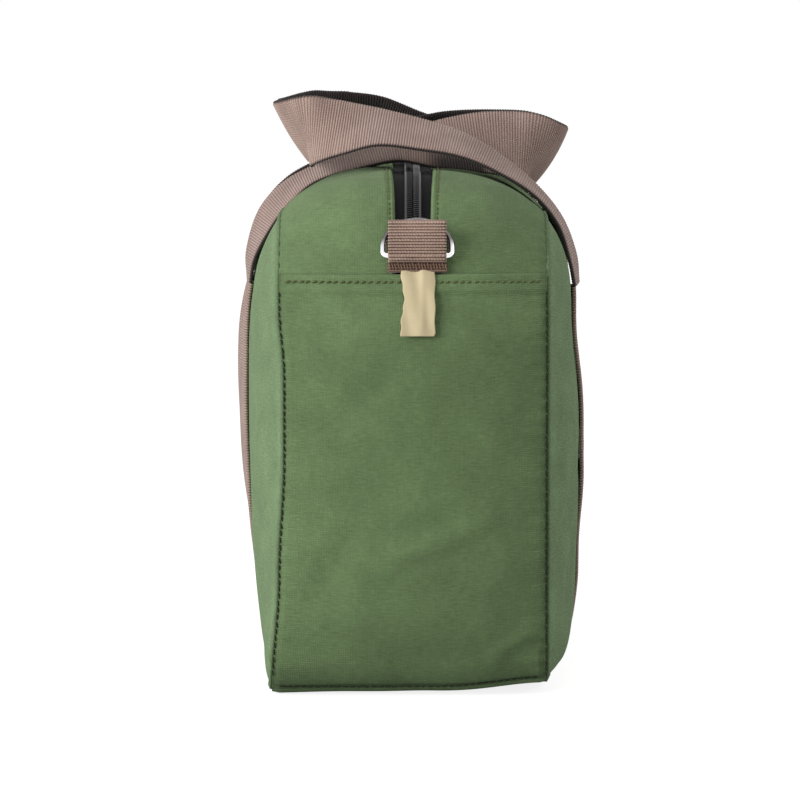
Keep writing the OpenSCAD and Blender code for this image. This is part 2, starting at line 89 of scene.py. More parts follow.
class Finish:
    """A material with one principled shader; add() puts in any other node."""

    def __init__(self, name, **fixed):
        self.material = bpy.data.materials.new(name)
        self.material.use_nodes = True
        self.tree = self.material.node_tree
        self.shader = self.tree.nodes["Principled BSDF"]
        for socket, value in fixed.items():
            self.shader.inputs[socket.replace("_", " ")].default_value = value

    def put(self, socket, value):
        if isinstance(value, Flow):
            self.tree.links.new(value.socket, socket)
        else:
            socket.default_value = value

    def add(self, kind, settings=None, values=None, out=0):
        node = self.tree.nodes.new(kind)
        for key, value in (settings or {}).items():
            if key == "stops":
                ramp = node.color_ramp.elements
                while len(ramp) < len(value):
                    ramp.new(0.5)
                for stop, (place, colour) in zip(ramp, value):
                    stop.position = place
                    stop.color = colour
            else:
                setattr(node, key, value)
        for key, value in (values or {}).items():
            self.put(node.inputs[key], value)
        return Flow(self, node.outputs[out])

    def shade(self, **varying):
        for socket, value in varying.items():
            self.put(self.shader.inputs[socket.replace("_", " ")], value)

    def mix(self, amount, low, high):
        """Colour from low at amount 0 to high at amount 1."""
        return self.add("ShaderNodeMix", {"data_type": "RGBA"}, {0: amount, 6: low, 7: high}, 2)

    def tint(self, amount, low, high, **varying):
        """Base colour between two screen colours, and whatever else varies."""
        self.shade(Base_Color=self.mix(amount, srgb(*low), srgb(*high)), **varying)

    def along(self):
        """The piece's own map, in metres: across and along the cloth."""
        uv = self.add("ShaderNodeUVMap", {"uv_map": "UVMap"})
        return [self.add("ShaderNodeSeparateXYZ", None, {0: uv}, k) for k in range(2)]

    def at(self, x, y, z):
        return self.add("ShaderNodeCombineXYZ", None, {0: x, 1: y, 2: z})

    def noise(self, place, scale, detail=2.0, rough=0.5):
        return self.add("ShaderNodeTexNoise", {"noise_dimensions": "3D"},
                        {"Vector": place, "Scale": scale, "Detail": detail, "Roughness": rough})

    def grain(self, scale, detail=2.0):
        """Noise through the solid piece, in its own space."""
        return self.noise(self.add("ShaderNodeTexCoord", None, None, "Object"), scale, detail)

    def worn(self):
        """What is painted on the piece's points: a tone, painted light and shade, a painted
        reflection, or which side takes the lining.
        """
        return self.add("ShaderNodeAttribute", {"attribute_name": "worn"}, None, "Fac")

    def wave(self, place, pitch):
        """A sine from 0 to 1 that repeats every pitch."""
        angle = place * (2.0 * math.pi / pitch)
        return self.add("ShaderNodeMath", {"operation": "SINE"}, {0: angle}) * 0.5 + 0.5

    def bump(self, height, distance, strength):
        return self.add("ShaderNodeBump", None,
                        {"Height": height, "Distance": distance, "Strength": strength})


def srgb(r, g, b):
    """The scene-linear colour of an 8-bit screen colour."""
    c = np.array([r, g, b]) / 255.0
    lin = np.where(c <= 0.04045, c / 12.92, ((c + 0.055) / 1.055) ** 2.4)
    return (*lin.tolist(), 1.0)


white = (1.0, 1.0, 1.0, 1.0)
black = (0.0, 0.0, 0.0, 1.0)
paper_glow = (0.84, 0.84, 0.84, 1.0)
room_strength = 0.35
seen_strength = 1.0
paper = Finish("floor_paper", Roughness=0.9)
rays = [paper.add("ShaderNodeLightPath", None, None, name)
        for name in ("Is Camera Ray", "Is Glossy Ray", "Is Transmission Ray")]
seen = paper.add("ShaderNodeClamp", None, {0: rays[0] + rays[1] + rays[2]})
paper.shader.inputs["Emission Strength"].default_value = seen_strength
paper.shade(Base_Color=srgb(170, 170, 170), Emission_Color=paper.mix(seen, black, paper_glow))
floor_half = 8.0
floor_drop = 0.0017
corners = ((-1, -1), (1, -1), (1, 1), (-1, 1))
floor_mesh = bpy.data.meshes.new("floor")
floor_mesh.from_pydata([(x * floor_half, y * floor_half, -floor_drop) for x, y in corners],
                       [], [(0, 1, 2, 3)])
floor_mesh.materials.append(paper.material)
floor = bpy.data.objects.new("floor", floor_mesh)
bpy.context.collection.objects.link(floor)

room = bpy.data.worlds.new("room")
room.use_nodes = True
bpy.context.scene.world = room
nodes, links = room.node_tree.nodes, room.node_tree.links
room_light = nodes["Background"]
room_seen = nodes.new("ShaderNodeBackground")
for sky, strength in ((room_light, room_strength), (room_seen, seen_strength)):
    sky.inputs["Color"].default_value = white
    sky.inputs["Strength"].default_value = strength
path = nodes.new("ShaderNodeLightPath")
shown = path.outputs["Is Camera Ray"]
for ray in ("Is Transmission Ray", "Is Glossy Ray"):
    either = nodes.new("ShaderNodeMath")
    either.operation = "MAXIMUM"
    links.new(shown, either.inputs[0])
    links.new(path.outputs[ray], either.inputs[1])
    shown = either.outputs[0]
room_mix = nodes.new("ShaderNodeMixShader")
for k, source in enumerate((shown, room_light.outputs[0], room_seen.outputs[0])):
    links.new(source, room_mix.inputs[k])
links.new(room_mix.outputs[0], nodes["World Output"].inputs[0])
lamp_aim = Vector((0.0, 0.0, 0.12))


def soft_box(name, place, size, watts):
    """A square lamp at place that faces the middle of the bag."""
    data = bpy.data.lights.new(name, "AREA")
    data.size = size
    data.energy = watts
    lamp = bpy.data.objects.new(name, data)
    bpy.context.collection.objects.link(lamp)
    lamp.location = place
    lamp.rotation_euler = (lamp_aim - Vector(place)).to_track_quat("-Z", "Y").to_euler()


soft_box("box_left", (-2.2, -1.45, 0.85), 1.4, 56.0)
soft_box("box_right", (2.2, -0.1, 0.9), 1.4, 11.0)
soft_box("box_top", (0.0, -0.6, 2.2), 1.2, 4.0)
bpy.context.scene.view_settings.view_transform = "Standard"


# ---- Canvas: the gusset's cloth
# Heavy green cotton canvas in one long strip round the bag, sewn to the faces along both
# edges: it makes the ends, the bottom and, each side of the zip, the top.
gusset_half = 0.057
half_len = 0.191
seam_top = 0.2025
top_rise = 0.0175
end_rise = 0.009
shoulder_r = 0.058
heel_r = 0.014
mouth_z = 0.1775
hem_z = mouth_z - 0.009
shoulder_z = seam_top - shoulder_r
arch_pow = 2.2
top_arch_pow = 3.1
swell_pow = 0.8
both_ends = (("near", 1.0), ("far", -1.0))
both_sides = (("left", -1.0), ("right", 1.0))


def stacked(*parts):
    """Coordinates put together: each part is one number, a row, a column or a grid."""
    return np.stack(np.broadcast_arrays(*parts), -1)


def smooth(t):
    """0 below 0, 1 above 1 and an S between."""
    u = np.clip(t, 0.0, 1.0)
    return u * u * (3.0 - 2.0 * u)


def outline(y, z, angle):
    """Stations of the side outline: place, outward normal, height of the crown there and the
    way it swells, which turns from level at the pocket mouth to upright on the top."""
    side = np.where(np.cos(angle) < 0, -1.0, 1.0)
    rise = end_rise * smooth(z / (2 * heel_r + end_rise))
    rise = rise + (top_rise - rise) * smooth((z - hem_z) / (seam_top - hem_z))
    turn = np.where(z < mouth_z, 1.0,
                    np.clip(1 - (z - mouth_z) / (seam_top - mouth_z), 0, 1) ** swell_pow)
    turn = np.where(np.abs(np.cos(angle)) < 1e-3, 0.0, turn)
    lean = np.pi / 2 - side * turn * np.pi / 2
    return dict(y=y, z=z, ny=np.cos(angle), nz=np.sin(angle), rise=rise,
                sy=np.cos(lean), sz=np.sin(lean))


def shoulder_at(z):
    """Stations of the near shoulder at heights z."""
    angle = np.pi - np.arcsin(np.clip((z - shoulder_z) / shoulder_r, 0, 1))
    return outline(-half_len + shoulder_r + shoulder_r * np.cos(angle), z, angle)


def joined(*runs):
    """Runs of stations end to end."""
    return {key: np.concatenate([run[key] for run in runs]) for key in runs[0]}


def far_side(run):
    """The same stations at the far end, in the same order."""
    turned = dict(run)
    for key in ("y", "ny", "sy"):
        turned[key] = -run[key]
    return turned


def backwards(run):
    return {key: value[::-1] for key, value in run.items()}


def normals(run):
    """The outward direction at each station."""
    return stacked(0.0, run["ny"], run["nz"])


def up_at(run, key, at):
    """The outward direction where the run comes to the heights or lengths at."""
    return normals(run)[np.interp(at, run[key], np.arange(len(run[key]))).astype(int)]


def on_gusset(run, x, off):
    """Points of the gusset: the outline, plus the crown's fall towards the seams along the
    swell, plus off along the normal; rows follow the run, columns follow x."""
    y, z, ny, nz, rise, sy, sz = (value[:, None] for value in run.values())
    above = smooth((z - mouth_z) / (seam_top - mouth_z))
    power = arch_pow + (top_arch_pow - arch_pow) * above
    high = rise * (1 - np.minimum(np.abs(x) / gusset_half, 1) ** power)
    return stacked(x, y + sy * high + ny * off, z + sz * high + nz * off)


def end_run(step):
    """Stations of the near end from the heel up to the pocket's mouth."""
    angle = np.linspace(1.5 * np.pi, np.pi, 24)
    heel = outline(-half_len + heel_r + heel_r * np.cos(angle),
                   heel_r + heel_r * np.sin(angle), angle)
    z = np.linspace(heel_r, shoulder_z, int((shoulder_z - heel_r) / step) + 1)[1:]
    wall = outline(np.full_like(z, -half_len), z, np.full_like(z, np.pi))
    z = np.linspace(shoulder_z, mouth_z, int((mouth_z - shoulder_z) / step) + 1)[1:]
    return joined(heel, wall, shoulder_at(z))


def near_run(step, count):
    """Stations of the whole near end: count of them make the shoulder above the mouth."""
    return joined(end_run(step), shoulder_at(np.linspace(mouth_z, seam_top, count)[1:]))


def run_length(points):
    """Distance along each column of a grid of points, from its first row."""
    steps = np.linalg.norm(np.diff(points, axis=0), axis=-1)
    return np.concatenate([np.zeros((1, points.shape[1])), np.cumsum(steps, axis=0)])


def path_length(points):
    """Distance along a line of points, from its first."""
    return run_length(points[:, None])[:, 0]


def between(at, steps, values):
    """Rows of values, which belong to the distances steps, at the distances at."""
    return np.stack([np.interp(at, steps, values[:, k]) for k in range(3)], -1)


def unit(ways):
    return ways / np.linalg.norm(ways, axis=-1, keepdims=True)


def tube_round(line, a, b, r, sides, along):
    """Rings of points at r round a line, from a through b, and their map."""
    ring = np.linspace(0, 2 * np.pi, sides + 1)[:-1]
    rings = line[:, None] + r * (a[:, None] * np.cos(ring)[:, None]
                                 + b[:, None] * np.sin(ring)[:, None])
    return rings, stacked(ring * r, along[:, None])


def ripples(u, v, size, seed):
    """Gentle unevenness: a seeded sum of slanting sines about size long, within -1 to 1."""
    draw = np.random.default_rng(seed)
    total = np.zeros(np.broadcast(u, v).shape)
    for k in range(7):
        angle = draw.uniform(0, np.pi)
        pitch = size * draw.uniform(0.7, 1.7)
        total += np.sin(2 * np.pi * (u * np.cos(angle) + v * np.sin(angle)) / pitch
                        + draw.uniform(0, 2 * np.pi))
    return total / 7


def fold_line(u, v, start, stop, width, height):
    """A soft ridge of that height along the line from start to stop, fading at its ends."""
    a, b = np.array(start), np.array(stop)
    way = (b - a) / np.linalg.norm(b - a)
    along = (u - a[0]) * way[0] + (v - a[1]) * way[1]
    aside = (u - a[0]) * -way[1] + (v - a[1]) * way[0]
    length = np.linalg.norm(b - a)
    fade = smooth(along / (0.25 * length)) * smooth((length - along) / (0.25 * length))
    return height * fade * np.exp(-(aside / width) ** 2)


def fold_lines(u, v, folds):
    """The sum of the ridges and hollows in a table of (start, stop, width, height)."""
    return sum(fold_line(u, v, *fold) for fold in folds)


seam_drawn = 0.0022
seam_spread = 0.0032
corner_up = 0.0044


def settled(points):
    """The same points after the load has pulled the near left seam in at mid-height and
    spread it at the floor, and let the near end's lower right corner ride up."""
    x, y, z = points[..., 0], points[..., 1], points[..., 2]
    near = smooth((-0.150 - y) / 0.03)
    inward = seam_drawn * smooth((z - 0.05) / 0.05) * smooth((0.165 - z) / 0.03) \
        - seam_spread * smooth((0.05 - z) / 0.05)
    rise = corner_up * smooth((x - 0.01) / 0.05) * smooth((0.03 - z) / 0.03)
    return stacked(x + near * inward * smooth((-x - 0.02) / 0.037), y, z + near * rise)


def placed(name, mesh, finish):
    """The mesh as a smooth object of that finish, in the scene."""
    mesh.shade_smooth()
    mesh.materials.append(finish.material)
    piece = bpy.data.objects.new(name, mesh)
    bpy.context.collection.objects.link(piece)
    return piece


def grid_piece(name, points, uv, finish, thick=0.0, worn=None, flip=False, loop=False):
    """A piece from a grid of points, rows by columns, with its own map in metres, and thick
    metres of cloth behind it; loop joins the last column to the first."""
    rows, cols = points.shape[:2]
    index = np.arange(rows * cols).reshape(rows, cols)
    right = np.roll(index, -1, axis=1) if loop else index[:, 1:]
    left = index if loop else index[:, :-1]
    quads = np.stack([left[:-1], right[:-1], right[1:], left[1:]], -1).reshape(-1, 4)
    if flip:
        quads = quads[:, ::-1]
    mesh = bpy.data.meshes.new(name)
    mesh.vertices.add(rows * cols)
    mesh.vertices.foreach_set("co", points.reshape(-1).astype(np.float32))
    mesh.loops.add(quads.size)
    mesh.loops.foreach_set("vertex_index", quads.reshape(-1).astype(np.int32))
    mesh.polygons.add(len(quads))
    mesh.polygons.foreach_set("loop_start", np.arange(0, quads.size, 4, dtype=np.int32))
    mesh.update(calc_edges=True)
    layer = mesh.uv_layers.new(name="UVMap")
    loose = uv.reshape(-1, 2)[quads.reshape(-1)]
    layer.data.foreach_set("uv", loose.reshape(-1).astype(np.float32))
    if worn is not None:
        fade = mesh.attributes.new("worn", "FLOAT", "POINT")
        fade.data.foreach_set("value", worn.reshape(-1).astype(np.float32))
    piece = placed(name, mesh, finish)
    if thick:
        wall = piece.modifiers.new("cloth", "SOLIDIFY")
        wall.thickness = thick
        wall.offset = -1.0
    return piece


weft_pitch = 0.0008
warp_pitch = 0.0007


def canvas_finish(name, base, seed):
    """Plain canvas weave: thick threads across the strip and fine ones along it, each thread
    a little uneven in height and shade, and slow clouds of lighter and darker dye; the thick
    threads' crowns are painted a little lighter, painted shade between them, and each piece's
    painted light and shade is added to the tone."""
    cloth = Finish(name, Roughness=0.92, Specular_IOR_Level=0.12, Sheen_Weight=0.06,
                   Sheen_Roughness=0.6)
    u, v = cloth.along()
    slub = cloth.noise(cloth.at(u * 260.0, v * 1250.0, seed), 1.0, 2.0)
    streak = cloth.noise(cloth.at(u * 900.0, v * 160.0, seed + 5.0), 1.0, 2.0)
    cloud = cloth.noise(cloth.at(u, v, seed + 9.0), 45.0, 5.0, 0.65)
    speck = cloth.noise(cloth.at(u, v, seed + 2.0), 1100.0, 2.0)
    across = cloth.wave(v + (slub - 0.5) * 0.0005, weft_pitch)
    along = cloth.wave(u + (streak - 0.5) * 0.0004, warp_pitch)
    height = across * 0.5 * (slub + 0.4) + along * 0.3 + streak * 0.3
    # painted shade: the thick threads' crowns lighter than the hollows between them, plus the
    # piece's painted light and shade
    tone = (slub - 0.5) * 0.8 + (streak - 0.5) * 0.3 + (cloud - 0.5) * 0.9 + (speck - 0.5) * 0.5 \
        + (across - 0.5) * 0.07 + cloth.worn()
    dark = tuple(c * 0.66 for c in base[:3]) + (1.0,)
    light = tuple(min(c * 1.42, 1.0) for c in base[:3]) + (1.0,)
    shade = cloth.add("ShaderNodeValToRGB",
                      {"stops": ((0.0, dark), (0.5, base), (1.0, light))}, {"Fac": tone + 0.5})
    cloth.shade(Base_Color=shade, Normal=cloth.bump(height, 0.00035, 0.7))
    return cloth


end_canvas = canvas_finish("end_canvas", srgb(112, 135, 93), 1.0)


def finish_nodes(finish, *nodes):
    """CAD solids whose shape is right keep it and take a finish."""
    for node in nodes:
        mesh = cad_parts[node].data
        mesh.materials.clear()
        mesh.materials.append(finish.material)


finish_nodes(end_canvas, "end_panel_far")
x = np.linspace(-gusset_half, gusset_half, 60)
grid = on_gusset(end_run(0.0015), x, -0.0002)
climb = run_length(grid)
# painted shade: darker towards the end's right side, on a tone a little darker all over
worn = np.broadcast_to(-0.10 - 0.12 * smooth((x + 0.02) / 0.06), climb.shape)
end_cloth = grid_piece("end_cloth_near", settled(grid), stacked(x, climb), end_canvas,
                       thick=0.0012, worn=worn)
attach(end_cloth, "bag")
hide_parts("end_panel_near")


# ---- End pockets
# One cloth laid over each end from the floor to below the zip, caught in the side seams; its
# mouth is folded under twice and stitched once, and it follows the stuffing behind it.
pocket_off = 0.0012
pucker_pitch = 0.0065
pucker_reach = 0.0045
seam_dip = 0.0005
seam_reach = 0.0035
groove_deep = 0.00035
floor_seam_z = 0.0030
hem_off = 0.0011
hem_depth = 0.0085
hem_stitch_z = mouth_z - 0.0036
pocket_folds = [((-0.02, 0.052), (0.04, 0.078), 0.005, 0.0011),
                ((-0.05, 0.030), (-0.02, 0.075), 0.006, -0.0008),
                ((0.03, 0.012), (0.056, 0.03), 0.004, 0.001),
                ((0.02, 0.16), (0.05, 0.12), 0.006, 0.0006)]


def pocket_grid(seed):
    """The pocket cloth: x across, stations up; it stands off the end, thicker at the hem,
    dips to the seams at its sides, and has soft dents, drag lines and stitch puckers."""
    run = end_run(0.0008)
    x = gusset_half * np.sin(np.linspace(-0.5, 0.5, 131) * np.pi)
    climb = run_length(on_gusset(run, x, 0.0))
    z = run["z"][:, None]
    edge = gusset_half - np.abs(x)
    hem = smooth((z - (mouth_z - hem_depth)) / 0.0012)
    roll = smooth((mouth_z + 0.0002 - z) / 0.0011)
    side = smooth(edge / seam_reach)
    sag = ripples(x, z, 0.11, seed) * 0.0011 \
        + ripples(x, z, 0.035, seed + 1) * 0.00035 \
        + fold_lines(x, z, pocket_folds)
    pucker = np.sin(2 * np.pi * climb / pucker_pitch + 1.7 * np.sin(climb / 0.021)) \
        * np.exp(-edge / pucker_reach) * 0.00028
    row = np.exp(-((hem_stitch_z - z) / 0.0006) ** 2) * groove_deep
    floor_seam = np.exp(-((z - floor_seam_z) / 0.0006) ** 2)
    # painted shade in the gap under the lower right corner
    corner_shade = np.exp(-((x - 0.0548) / 0.0014) ** 2 - ((z - 0.013) / 0.005) ** 2)
    off = pocket_off + hem * hem_off * (0.35 + 0.65 * roll) + side * sag - row \
        + pucker - seam_dip * (1 - side) - 0.0006 * floor_seam
    # painted light and shade: a painted highlight along the mouth's edge; painted shade near and
    # at the side seams, in the floor seam's groove, in the gap at the lower right corner, towards
    # the bottom and towards the right; painted light on the heel below the floor seam
    worn = 0.10 * np.exp(-((mouth_z - z) / 0.0012) ** 2) - 0.10 * np.exp(-edge / 0.003) \
        - 0.10 * (1 - side) - 2.4 * floor_seam + 0.5 * smooth((floor_seam_z - z) / 0.0008) \
        - 0.6 * np.exp(-(edge / 0.0008) ** 2) - 0.9 * corner_shade \
        - 0.10 * smooth((0.07 - z) / 0.07) - 0.09 * smooth(x / gusset_half)
    return settled(on_gusset(run, x, off)), stacked(x, climb), worn


for (end, way), seed in zip(both_ends, (3, 8)):
    points, uv, worn = pocket_grid(seed)
    pocket = grid_piece("pocket_" + end, points * [1.0, way, 1.0], uv, end_canvas,
                        thick=0.0010, worn=worn, flip=way < 0)
    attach(pocket, "bag")
    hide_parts("end_pocket_" + end)


# ---- Stitching
# Cotton thread sewn by machine, olive at the hems and beside the zip and darker in the seams:
# each stitch lies in the cloth as a short rounded bar that dips at both ends into its hole.
thread = Finish("olive_thread", Roughness=0.7, Specular_IOR_Level=0.3)
twist = thread.grain(2200.0, 1.0)
thread.tint(twist, (66, 76, 42), (118, 126, 78), Normal=thread.bump(twist, 0.0002, 0.5))
seam_thread = Finish("seam_thread", Roughness=0.8, Specular_IOR_Level=0.2)
seam_thread.tint(seam_thread.grain(2200.0, 1.0), (18, 22, 14), (50, 56, 36))
stitch_high = 0.0005
stitch_pitch = 0.0030


def stitches(name, spots, ways, ups, finish, length=0.0023, wide=0.0008,
             slant=0.16):
    """One bar for each spot, along ways but a little slanted, with ups away from the cloth:
    six-sided rings at five places, smallest at the ends, which are sunk."""
    ways = unit(ways)
    ways = unit(ways + slant * np.cross(ups, ways))
    sides = unit(np.cross(ways, ups))
    along = np.array([-0.5, -0.36, 0.0, 0.36, 0.5])[:, None] * length
    girth = np.array([0.25, 0.85, 1.0, 0.85, 0.25])[:, None]
    lift = np.array([-0.5, 0.25, 0.5, 0.25, -0.5])[:, None] * stitch_high
    ring = np.linspace(0, 2 * np.pi, 7)[:-1]
    rise = lift + 0.5 * stitch_high * girth * np.sin(ring)
    aside = 0.5 * wide * girth * np.cos(ring)
    verts = spots[:, None, None] + ways[:, None, None] * along[..., None] \
        + ups[:, None, None] * rise[..., None] + sides[:, None, None] * aside[..., None]
    index = np.arange(len(spots) * 30).reshape(-1, 5, 6)
    a, b = index[:, :-1], index[:, 1:]
    quads = np.stack([b, np.roll(b, -1, 2), np.roll(a, -1, 2), a], -1).reshape(-1, 4)
    caps = np.concatenate([index[:, 0], index[:, 4, ::-1]])
    mesh = bpy.data.meshes.new(name)
    mesh.from_pydata(verts.reshape(-1, 3).tolist(), [], quads.tolist() + caps.tolist())
    piece = placed(name, mesh, finish)
    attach(piece, "bag")


def along_line(points, seed, wobble):
    """Places along a line, a stitch apart and uneven by wobble, with the line's direction."""
    steps = path_length(points)
    at = np.arange(stitch_pitch, steps[-1] - stitch_pitch * 0.5, stitch_pitch)
    at = at + np.random.default_rng(seed).uniform(-1, 1, len(at)) * wobble
    spots = between(at, steps, points)
    return spots, between(at + stitch_pitch * 0.2, steps, points) - spots


seam_in = 0.0003
pulled_off = pocket_off * 0.8
hem_ends = gusset_half - 0.0008
hem_at = shoulder_at(np.array([hem_stitch_z]))
run = near_run(0.002, 60)
floor_row = int(np.argmin(np.abs(run["z"] - floor_seam_z)))
for end, way in both_ends:
    turn = np.array([1.0, way, 1.0])
    x = np.linspace(-hem_ends, hem_ends, 90)
    line = on_gusset(hem_at, x, pocket_off + hem_off + 0.00005)[0] * turn
    spots, ways = along_line(line, 4, 0.00025)
    ups = np.tile(normals(hem_at)[0] * turn, (len(spots), 1))
    stitches("hem_stitches_" + end, spots, ways, ups, thread, wide=0.0010, slant=0.3)
    for name, side in both_sides:
        off = np.where(run["z"] < mouth_z, pulled_off, 0.0)[:, None]
        line = settled(on_gusset(run, np.array([side * (gusset_half - seam_in)]), off))[:, 0]
        spots, ways = along_line(line * turn, 5 + int(side), 0.0003)
        kept = (spots[:, 2] > 0.007) & (spots[:, 2] < mouth_z - 0.002)
        spots, ways = spots[kept], ways[kept]
        ups = up_at(run, "z", spots[:, 2]) * turn
        stitches("seam_stitches_%s_%s" % (end, name), spots, ways, ups, seam_thread,
                 wide=0.0006, length=0.0027 if side < 0 else 0.0030)
    x = np.linspace(-gusset_half + 0.0015, hem_ends, 90)
    line = settled(on_gusset(run, x, pulled_off))[floor_row] * turn
    spots, ways = along_line(line, 9, 0.0002)
    ups = np.tile(normals(run)[floor_row] * turn, (len(spots), 1))
    stitches("floor_stitches_" + end, spots, ways, ups, seam_thread, wide=0.0006, length=0.0027)


# ---- Top strips
# The gusset's cloth each side of the zip, its edges folded under and topstitched down to the
# zip's tapes; it swells over the stuffing and draws in a little at the stitching.
gap_half = 0.0075
gap_opens = 0.0014
strip_off = 0.0004
lip_deep = 0.0016
fold_in = 0.0026
ring_clear_z = 0.196


def top_run(step):
    """Stations from the near pocket's mouth over the top to the far one's."""
    near = shoulder_at(np.linspace(mouth_z, seam_top, 46))
    y = np.arange(-half_len + shoulder_r, half_len - shoulder_r, step)[1:]
    flat = outline(y, np.full_like(y, seam_top), np.full_like(y, np.pi / 2))
    return joined(near, flat, backwards(far_side(near)))


def zip_edge(run):
    """Where the folded edges stand off the zip: closest at the ends, where the tabs are."""
    return gap_half - 0.0002 + gap_opens * smooth((half_len - 0.012 - np.abs(run["y"])) / 0.05)


def strip_grid(side, seed):
    """Half the top: x from the zip to the seam; the folded edge rolls down to the tape, a
    groove marks the topstitching, and soft dents lie across the shoulders."""
    run = top_run(0.0025)
    t = np.linspace(0, 1, 64) ** 1.25
    gap = zip_edge(run)[:, None]
    x = gap + (gusset_half - gap) * t
    climb = run_length(on_gusset(run, x, 0.0))
    edge = gusset_half - x
    from_zip = x - gap
    lip = -lip_deep * (1 - smooth(from_zip / 0.0009))
    groove = -groove_deep * np.exp(-((from_zip - fold_in) / 0.0007) ** 2)
    waver = np.sin(2 * np.pi * climb / 0.013 + 2 * np.sin(climb / 0.05)) \
        * np.exp(-from_zip / 0.005) * 0.00022
    sag = ripples(x, climb, 0.09, seed) * 0.0016 + ripples(x, climb, 0.03, seed + 1) * 0.0004
    side_in = smooth(edge / seam_reach)
    inner = smooth(from_zip / 0.012)
    pucker = np.sin(2 * np.pi * climb / pucker_pitch) * np.exp(-edge / pucker_reach) * 0.0003
    off = strip_off + lip + groove + waver + side_in * inner * sag + pucker \
        - seam_dip * (1 - side_in)
    # a tone a little lighter all over, a painted highlight along the folded edge by the zip, and
    # painted shade at and near the seam and towards the right strip's seam
    worn = 0.05 + 0.08 * np.exp(-((from_zip - 0.0006) / 0.0008) ** 2) - 0.08 * (1 - side_in) \
        - 0.09 * smooth(side * x / gusset_half) - 0.08 * np.exp(-edge / 0.003)
    points = on_gusset(run, x, off) * [side, 1, 1]
    return points, stacked(x * side, climb), worn


run = top_run(0.0025)
for (name, side), seed in zip(both_sides, (12, 15)):
    points, uv, worn = strip_grid(side, seed)
    strip = grid_piece("top_" + name, points, uv, end_canvas, thick=0.0011, worn=worn,
                       flip=side < 0)
    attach(strip, "bag")
    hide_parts("top_strip_" + name)
    line = on_gusset(run, zip_edge(run)[:, None] + fold_in, 0.0003)[:, 0] * [side, 1, 1]
    spots, ways = along_line(line, 21, 0.0003)
    clear_of_ring = spots[:, 2] > ring_clear_z
    spots, ways = spots[clear_of_ring], ways[clear_of_ring]
    ups = up_at(run, "y", spots[:, 1])
    stitches("top_stitches_" + name, spots, ways, ups, thread, wide=0.0006)


# ---- Faces
# The two long sides, one cloth each, swollen by the load: they rise steeply from the seams,
# stand nearly flat in the middle, and have slack dents and drag lines down to the bottom.
face_base = 0.0586
face_rise = 0.0150
belly = 0.0026
face_pow = 5.0
mid_z = seam_top / 2
flange = 1 - 0.003 / mid_z
face_folds = [((-0.17, 0.03), (-0.10, 0.11), 0.008, -0.0016),
              ((0.165, 0.035), (0.12, 0.12), 0.009, -0.0018),
              ((-0.03, 0.02), (0.04, 0.05), 0.007, -0.0012),
              ((-0.02, 0.18), (0.03, 0.14), 0.008, -0.0012)]


def face_share(y, z):
    """How far a point lies from the face's middle to its seam, 0 to 1: the smallest scaling
    of the rounded outline that holds it, by bisection."""
    low = np.full(np.broadcast(y, z).shape, 1e-3)
    high = np.full_like(low, 1.2)
    for _ in range(30):
        mid = (low + high) / 2
        yy, zz = np.abs(y) / mid, (z - mid_z) / mid
        r = np.where(zz > 0, shoulder_r, heel_r)
        qy, qz = yy - (half_len - r), np.abs(zz) - (mid_z - r)
        corner_off = np.hypot(np.maximum(qy, 0), np.maximum(qz, 0))
        inside = corner_off + np.minimum(np.maximum(qy, qz), 0) < r
        high = np.where(inside, mid, high)
        low = np.where(inside, low, mid)
    return (low + high) / 2


def face_out(y, z, t, seed, sags, tuck):
    """How far the cloth stands from the middle of the bag: the swell, plus dents, drag lines
    from the strap roots and the corners, and puckers along the seam. The stuffing swells or
    hollows the face by sags of (out, height, reach), and the straps draw it in by tuck."""
    swell = face_base + face_rise * (1 - np.minimum(t / flange, 1) ** face_pow) \
        + belly * smooth((0.076 - np.abs(y)) / 0.032) * smooth((0.186 - z) / 0.04) \
        * smooth((z - 0.055) / 0.05) - tuck * smooth((0.125 - np.abs(y)) / 0.05) \
        * np.exp(-((z - 0.055) / 0.026) ** 2)
    free = smooth((1 - t) / 0.12)
    dents = (ripples(y, z, 0.15, seed) - 0.3) * 0.0022 + ripples(y, z, 0.05, seed + 1) * 0.0007
    dents = dents + sum(out * np.exp(-((z - at) / reach) ** 2) for out, at, reach in sags)
    around = np.arctan2(z - mid_z, y)
    pucker = np.sin(around * 150 + 3 * np.sin(around * 7)) * np.exp(-(1 - t) / 0.05) \
        * 0.00035 * smooth((1 - t) / 0.02)
    return swell + free * (dents + fold_lines(y, z, face_folds)) + pucker


def rim(step):
    """The whole side outline as y and z, once round."""
    near = near_run(step, 30)
    y_top = np.arange(-half_len + shoulder_r, half_len - shoulder_r, step * 1.5)[1:]
    y_low = np.arange(half_len - heel_r, -half_len + heel_r, -step * 1.5)[1:]
    far = backwards(far_side(near))
    z_top, z_low = np.full_like(y_top, seam_top), np.zeros_like(y_low)
    return (np.concatenate([near["y"], y_top, far["y"], y_low]),
            np.concatenate([near["z"], z_top, far["z"], z_low]))


